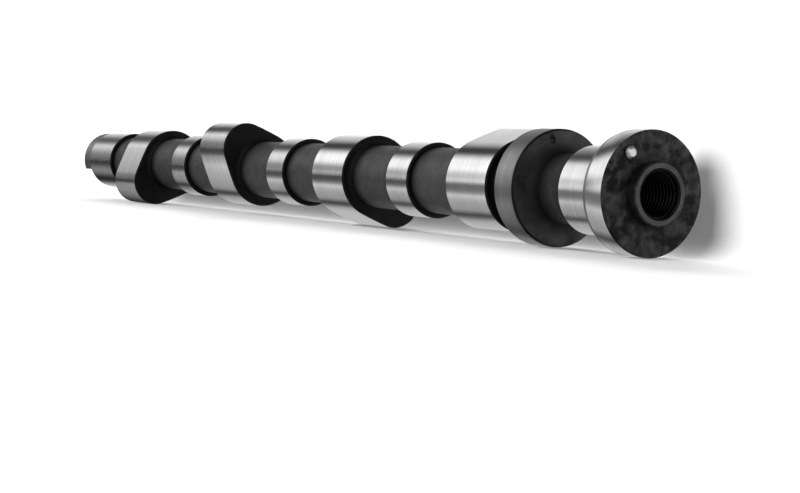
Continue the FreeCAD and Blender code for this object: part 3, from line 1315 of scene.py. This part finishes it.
    def _strip(self, name: str, points: list[tuple[float, ...]]) -> None:
        """Makes a row of cards along the shaft that only reflections show.

        Args:
            name: The object's name.
            points: The cards' edges across the shaft, as (across, up, distance, and the brightness at the
                flange, the tip, the front and the rear).
        """
        rear_end, front_end = self.card_ends
        vertices, levels = [], []
        for across, up, distance, *shown in points:
            stops = [change - lean * distance for change, lean in self.card_changes]
            vertices += [(stop, across, up) for stop in (rear_end, *stops, front_end)]
            levels += [level for level in reversed(shown) for _ in range(2)]
        columns = len(self.card_changes) + 2
        faces = [
            (columns * i + j, columns * i + j + 1, columns * (i + 1) + j + 1, columns * (i + 1) + j)
            for i in range(len(points) - 1)
            for j in range(columns - 1)
        ]
        card = mesh_object(name, vertices, faces)
        set_attribute(card.data, "level", levels)
        material = bpy.data.materials.new("card")
        nodes = emptied(material)
        glow = nodes.add("ShaderNodeEmission", {"Strength": nodes.attribute("level")})
        nodes.add("ShaderNodeOutputMaterial", {"Surface": glow})
        card.data.materials.append(material)
        hide_from(card, "camera", "diffuse", "shadow", "transmission")

    def _make_cards(self) -> None:
        """Sets the cards round the shaft and on the floor."""
        tent = []
        for angle, *levels in self.cards:
            turn = math.radians(angle)
            across, up = -math.cos(turn) * self.card_distance, math.sin(turn) * self.card_distance
            tent.append((across, max(up, self.floor_height + MM), self.card_distance, *levels))
        self._strip("cards_round_shaft", tent)
        low = self.floor_height + self.card_lift
        self._strip("cards_on_floor", [
            (-distance * MM, low, abs(distance) * MM, *levels) for distance, *levels in self.floor_cards
        ])

    def _seen(self, nodes: Nodes) -> Value:
        """One for the rays that show the white surroundings, and else nought."""
        path = nodes.add("ShaderNodeLightPath")
        seen = nodes.value(path, "Is Camera Ray") + nodes.value(path, "Is Glossy Ray")
        return (seen + nodes.value(path, "Is Transmission Ray")).clamp()

    def _paper(self, nodes: Nodes, colour: Any, strength: Value) -> bpy.types.Node:
        """Makes white paper's shader.

        Args:
            nodes: The material's builder.
            colour: The paper's colour.
            strength: The glow that makes up for what the colour leaves out.

        Returns:
            The shader's last node.
        """
        paper = nodes.add("ShaderNodeBsdfDiffuse", {"Color": colour})
        glow = nodes.add("ShaderNodeEmission", {"Strength": strength})
        return nodes.add("ShaderNodeAddShader", {0: paper, 1: glow})

    def _make_floor(self) -> bpy.types.Object:
        """Lays the white floor, which keeps the shaft's shadow.

        Returns:
            The floor.
        """
        half = self.floor_size / 2
        low = self.floor_height - self.floor_gap
        corners = [(x, y, low) for x, y in ((-half, -half), (half, -half), (half, half), (-half, half))]
        floor = mesh_object("floor", corners, [(0, 1, 2, 3)])
        material = bpy.data.materials.new("floor_white")
        nodes = emptied(material)
        grey = self.floor_grey / self._light_on(Vector((0.0, 0.0, 1.0)))
        paper = self._paper(nodes, (grey, grey, grey, 1.0), self._seen(nodes) * (1.0 - self.floor_grey))
        nodes.add("ShaderNodeOutputMaterial", {"Surface": paper})
        floor.data.materials.append(material)
        return floor

    def _light_on(self, normal: Vector) -> float:
        """The light on paper that faces a given way in the open."""
        share = (1.0 + normal.z) / 2
        light = self.sky_share * share + self.floor_grey * (1.0 - share)
        return light + sum(lamp.light_on(normal) for lamp in self.paper_lamps)

    def _make_sweep(self) -> bpy.types.Object:
        """Bends white paper up close behind the shaft for its shadow, which is seen from the front only.

        Returns:
            The paper.
        """
        steps = self.sweep_steps
        turns = [0.0] + [math.pi / 2 * step / steps for step in range(steps + 1)] + [math.pi / 2]
        ends = (-self.sweep_reach, self.sweep_reach)
        vertices, papers, glows = [], [], []
        for step, turn in enumerate(turns):
            normal = Vector((0.0, -math.sin(turn), math.cos(turn)))
            across = self.sweep_distance - self.sweep_radius * (1.0 - math.sin(turn)) if step else 0.0
            rise = self.sweep_radius * (1.0 - math.cos(turn)) if step <= steps + 1 else self.sweep_reach
            share = self.floor_grey + (1.0 - self.floor_grey) * math.sin(turn)
            vertices += [(along, across, self.floor_height + rise) for along in ends]
            papers += [share / self._light_on(normal)] * 2
            glows += [1.0 + self.sweep_spare * math.sin(turn) - share] * 2
        faces = [(2 * i, 2 * i + 1, 2 * i + 3, 2 * i + 2) for i in range(len(turns) - 1)]
        sweep = mesh_object("sweep", vertices, faces)
        set_attribute(sweep.data, "paper", papers)
        set_attribute(sweep.data, "glow", glows)
        material = bpy.data.materials.new("sweep_white")
        nodes = emptied(material)
        front = self._paper(nodes, nodes.attribute("paper"), nodes.attribute("glow"))
        clear = nodes.add("ShaderNodeBsdfTransparent")
        side = nodes.add("ShaderNodeNewGeometry")
        both = nodes.add("ShaderNodeMixShader", {0: side.outputs["Backfacing"], 1: front, 2: clear})
        nodes.add("ShaderNodeOutputMaterial", {"Surface": both})
        sweep.data.materials.append(material)
        smooth(sweep.data, self.sweep_sharp)
        hide_from(sweep, "diffuse", "glossy", "transmission", "shadow")
        return sweep

    def _make_blind(self) -> None:
        """Closes the gap under the shaft for the paper's back lamp, with a blind that only shadows show."""
        low, top = self.floor_height, self.blind_top
        rear, front = self.blind_ends
        corners = [(rear, 0.0, low), (front, 0.0, low), (front, 0.0, top), (rear, 0.0, top)]
        blind = mesh_object("blind", corners, [(0, 1, 2, 3)])
        hide_from(blind, "camera", "diffuse", "glossy", "transmission")

    def _hang_lamps(self, paper: list[bpy.types.Object]) -> None:
        """Hangs the lamps, some for the paper alone and the others for all but the paper.

        Args:
            paper: The floor and the sweep.
        """
        groups = (("paper", self.paper_lamps, "INCLUDE"), ("all_but_paper", self.lamps, "EXCLUDE"))
        for name, lamps, state in groups:
            lit = bpy.data.collections.new(name)
            for piece in paper:
                lit.objects.link(piece)
            for item in lit.collection_objects:
                item.light_linking.link_state = state
            for lamp in lamps:
                lamp.hang(lit)

    def _make_world(self) -> None:
        """Makes the white surroundings, at a plain level for the light they give."""
        world = bpy.data.worlds.new("studio")
        nodes = emptied(world)
        strength = self._seen(nodes).between(self.sky_share, 1.0)
        sky = nodes.add("ShaderNodeBackground", {"Color": (1.0, 1.0, 1.0, 1.0), "Strength": strength})
        nodes.add("ShaderNodeOutputWorld", {"Surface": sky})
        bpy.context.scene.world = world

    def _make_camera(self) -> None:
        """Sets the camera where the photograph was taken from."""
        data = bpy.data.cameras.new("camera")
        data.lens = self.camera_lens
        data.sensor_width = self.camera_sensor
        data.clip_start, data.clip_end = self.camera_clip
        camera = add_object("camera", data)
        ahead = Vector(self.camera_ahead).normalized()
        right = ahead.cross(Vector(self.camera_above)).normalized()
        above = right.cross(ahead)
        camera.rotation_mode = "QUATERNION"
        camera.rotation_quaternion = Matrix((right, above, -ahead)).transposed().to_quaternion()
        camera.location = Vector(self.camera_place) * MM
        bpy.context.scene.camera = camera

    def make(self) -> None:
        """Builds the studio."""
        self._make_camera()
        self._make_cards()
        self._make_world()
        self._make_blind()
        self._hang_lamps([self._make_floor(), self._make_sweep()])
        bpy.context.scene.view_settings.view_transform = "Standard"


def main() -> None:
    """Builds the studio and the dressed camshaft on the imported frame."""
    logging.basicConfig(level=logging.INFO, format="%(message)s")
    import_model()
    Studio().make()
    logger.info("studio: floor, cards, lamps, world and camera")
    groups = ShaderGroups()
    materials = {zone: finish.make(groups) for zone, finish in FINISHES.items()}
    pin_zones = (Zone.PIN_END, Zone.PIN_SIDE)
    shaft_materials = {zone: materials[zone] for zone in Zone if zone not in pin_zones}
    shaft_tree = TurnedTree("turned_shaft", shaft_materials)
    pin_tree = TurnedTree("turned_pin", {zone: materials[zone] for zone in pin_zones})
    for piece in (
        CamShaft().make(shaft_tree),
        DowelPin().make(pin_tree),
        BoltThread().make(materials[Zone.BORE]),
    ):
        logger.info("%s: %d faces", piece.name, len(piece.data.polygons))


if __name__ == "__main__":
    main()
